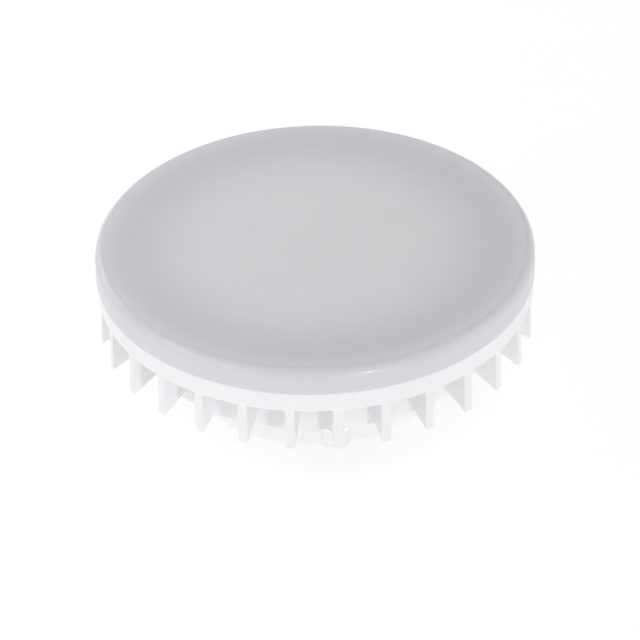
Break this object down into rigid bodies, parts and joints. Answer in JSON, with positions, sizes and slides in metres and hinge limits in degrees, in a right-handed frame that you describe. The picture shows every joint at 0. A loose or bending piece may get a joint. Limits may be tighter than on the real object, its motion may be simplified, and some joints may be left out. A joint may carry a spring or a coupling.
{
  "type": "led disc lamp",
  "caption": "Flat round lamp: an opal disc cover snapped onto a white finned housing, with a central spigot and mushroom-headed twist-lock contact pins on its back.",
  "frame": {"origin": "centre of the spigot's end face, on the surface that the lamp stands on", "axes": "+Z along the lamp's axis, from the spigot to the light-giving cover; the front contact pin is on the -Y side"},
  "size_m": [0.075, 0.075, 0.027],
  "materials": {
    "housing": "white injection-moulded PBT, fine satin",
    "diffuser": "opal polycarbonate, satin",
    "contact_pin": "nickel-plated brass, turned",
    "heat_spreader": "pressed sheet, bare",
    "light_board": "aluminium-core board with white solder resist",
    "light_chip": "yellow phosphor in a white package",
    "connector": "white nylon",
    "screw": "zinc-plated steel",
    "driver_board": "green glass-fibre board",
    "black_package": "black moulded epoxy",
    "capacitor_sleeve": "black shrink sleeve",
    "film_capacitor": "yellow box",
    "inductor": "ferrite core with enamelled copper winding",
    "resistor": "flameproof coating",
    "white_lead": "silicone insulation",
    "black_lead": "PVC insulation",
    "red_lead": "PVC insulation"
  },
  "bodies": {
    "root": {"housing": "housing", "diffuser": "diffuser", "contact_pin_front": "contact_pin", "contact_pin_rear": "contact_pin", "heat_spreader": "heat_spreader", "light_board": "light_board", "light_chip_01": "light_chip", "light_chip_02": "light_chip", "light_chip_03": "light_chip", "light_chip_04": "light_chip", "light_chip_05": "light_chip", "light_chip_06": "light_chip", "light_chip_07": "light_chip", "light_chip_08": "light_chip", "light_chip_09": "light_chip", "light_chip_10": "light_chip", "light_chip_11": "light_chip", "light_chip_12": "light_chip", "light_chip_13": "light_chip", "light_chip_14": "light_chip", "light_chip_15": "light_chip", "light_chip_16": "light_chip", "light_chip_17": "light_chip", "light_chip_18": "light_chip", "board_connector": "connector", "board_screw_1": "screw", "board_screw_2": "screw", "board_screw_3": "screw", "driver_board": "driver_board", "bridge_rectifier": "black_package", "driver_chip": "black_package", "input_capacitor": "capacitor_sleeve", "output_capacitor": "capacitor_sleeve", "film_capacitor": "film_capacitor", "inductor": "inductor", "fusible_resistor": "resistor", "pin_lead_front": "white_lead", "pin_lead_rear": "white_lead", "board_lead_negative": "black_lead", "board_lead_positive": "red_lead"}
  },
  "joints": []
}
